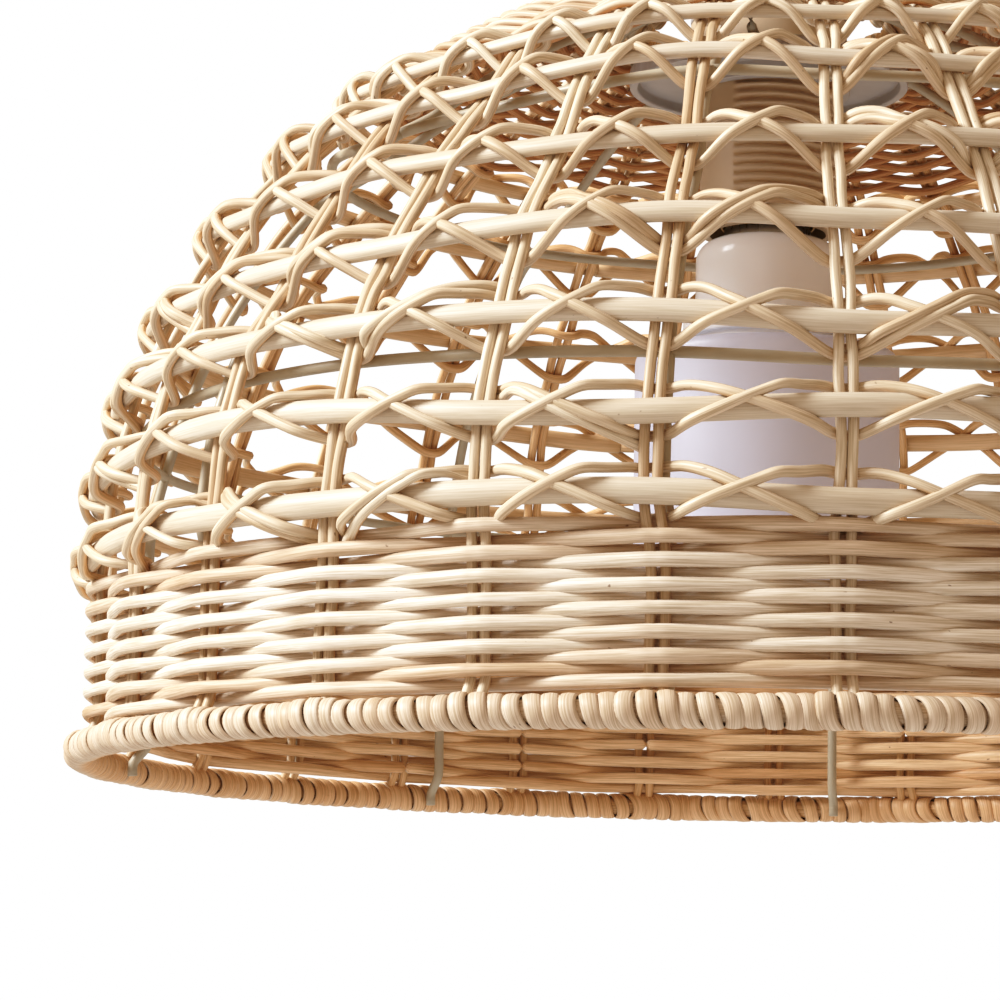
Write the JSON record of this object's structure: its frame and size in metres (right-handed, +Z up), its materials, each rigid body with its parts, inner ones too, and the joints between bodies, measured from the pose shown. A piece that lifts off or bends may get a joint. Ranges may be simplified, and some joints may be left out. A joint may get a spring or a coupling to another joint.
{
  "type": "pendant ceiling light",
  "caption": "Open-weave rattan dome shade on a wire frame, clamped by a threaded ring to a screw lampholder with a long LED bulb, hung from a cord gland on top.",
  "frame": {"origin": "centre of the cord hole at the top face of the cord gland, on the lamp's axis", "axes": "+Z up along the lamp's axis, towards the ceiling; the rim is a flat circle square to it, and X and Y are equal round it"},
  "size_m": [0.3994, 0.3996, 0.2594],
  "materials": {
    "cane_pale": "bare peeled cane, satin",
    "cane": "bare peeled cane, satin",
    "cane_warm": "bare cane, matt and darker",
    "wire_paint": "satin paint on round steel wire",
    "holder_plastic": "moulded, satin",
    "dark_plastic": "moulded, matt",
    "insert_plastic": "moulded heat-resistant insert",
    "brass": "pressed sheet",
    "nickel": "nickel plated",
    "bulb_plastic": "moulded, semi-gloss",
    "diffuser": "milky, satin",
    "circuit_board": "solder mask",
    "aluminium": "bare sheet"
  },
  "bodies": {
    "root": {"rib_01": "cane", "rib_02": "cane", "rib_03": "cane", "rib_04": "cane", "rib_05": "cane", "rib_06": "cane", "rib_07": "cane", "rib_08": "cane", "rib_09": "cane", "rib_10": "cane", "rib_11": "cane", "rib_12": "cane", "rib_13": "cane", "rib_14": "cane", "rib_15": "cane", "rib_16": "cane", "rib_17": "cane", "rib_18": "cane", "rib_19": "cane", "rib_20": "cane", "rib_21": "cane", "rib_22": "cane", "rib_23": "cane", "rib_24": "cane", "rib_25": "cane", "rib_26": "cane", "rib_27": "cane", "hoop_1": "cane_pale", "hoop_2": "cane_pale", "hoop_3": "cane_pale", "hoop_4": "cane_pale", "hoop_5": "cane_pale", "hoop_6": "cane_pale", "hoop_7": "cane_pale", "band_weave": "cane", "crown_weave": "cane_warm", "rim_core": "cane", "rim_binding": "cane", "crown_ring": "cane", "wire_frame": "wire_paint", "cord_gland": "holder_plastic", "holder_cap": "holder_plastic", "holder_body": "holder_plastic", "contact_carrier": "insert_plastic", "screw_shell": "brass", "centre_contact": "brass", "shell_contact": "brass", "terminal_screw_1": "nickel", "terminal_screw_2": "nickel"},
    "bulb_contact": {"bulb_tip": "nickel"},
    "bulb": {"bulb_insulator": "dark_plastic", "bulb_cap": "nickel", "bulb_neck": "bulb_plastic", "bulb_collar": "bulb_plastic", "bulb_diffuser": "diffuser", "led_board": "aluminium", "driver_board": "circuit_board"},
    "washer": {"ring_washer": "dark_plastic"},
    "ring": {"shade_ring": "holder_plastic"}
  },
  "joints": [
    {"name": "bulb_travel", "type": "slide", "parent": "root", "child": "bulb_contact", "axis": [0, 0, -1], "range_m": [0, 0.01815]},
    {"name": "bulb_turn", "type": "hinge", "parent": "bulb_contact", "child": "bulb", "pos_m": [0, 0, -0.1], "axis": [0, 0, -1], "range_deg": [0, 1800]},
    {"name": "ring_travel", "type": "slide", "parent": "root", "child": "washer", "axis": [0, 0, -1], "range_m": [0, 0.03001]},
    {"name": "ring_turn", "type": "hinge", "parent": "washer", "child": "ring", "pos_m": [0, 0, -0.052], "axis": [0, 0, -1], "range_deg": [0, 4320]}
  ],
  "couplings": [
    {"joint": "bulb_travel", "follows": "bulb_turn", "m_per_rad": 0.00057751},
    {"joint": "ring_travel", "follows": "ring_turn", "m_per_rad": 0.00039789}
  ]
}
